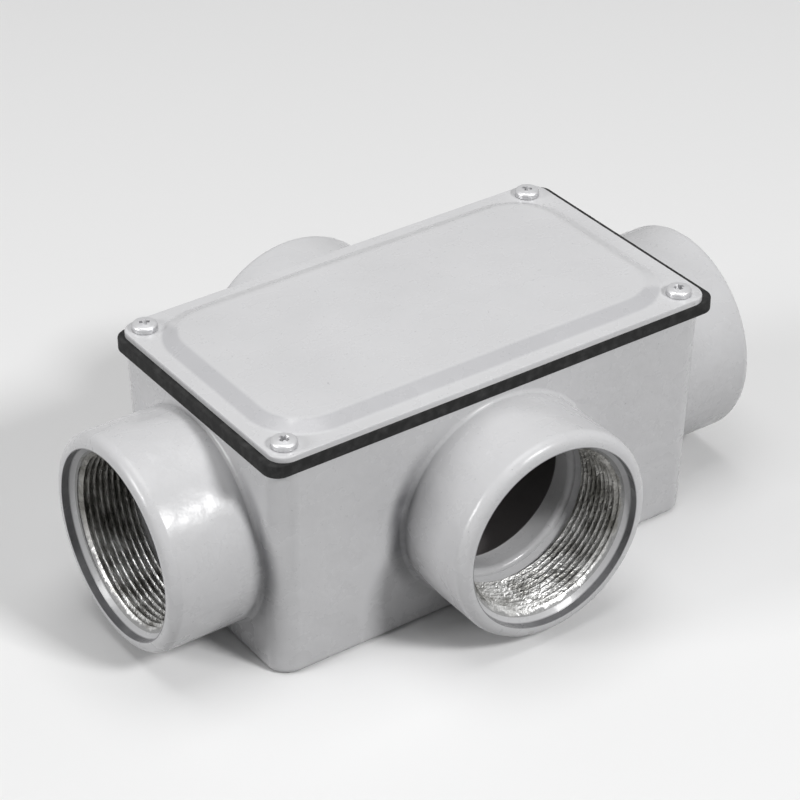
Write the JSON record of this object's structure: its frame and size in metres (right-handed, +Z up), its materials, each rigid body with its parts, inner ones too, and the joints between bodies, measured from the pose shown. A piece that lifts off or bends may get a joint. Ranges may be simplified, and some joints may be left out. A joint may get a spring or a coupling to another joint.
{
  "type": "conduit body",
  "caption": "Rectangular cast conduit body with threaded hubs on both ends and both sides, closed by a gasketed screw-on cover with a raised panel.",
  "frame": {"origin": "middle of the flat underside, below the crossing of the hub axes", "axes": "+X along the two end hubs, +Y along the two side hubs to the back, +Z up through the cover"},
  "size_m": [0.2292, 0.1528, 0.0877],
  "materials": {
    "painted_casting": "light grey semi-gloss paint over a cast surface",
    "painted_cover": "light grey semi-gloss paint over pressed sheet",
    "black_rubber": "matte black",
    "plated_steel": "zinc plated",
    "bare_thread": "bright cut metal"
  },
  "bodies": {
    "root": {"body_casting": "painted_casting", "cover_gasket": "black_rubber", "cover": "painted_cover", "cover_screws": "plated_steel"}
  },
  "joints": []
}
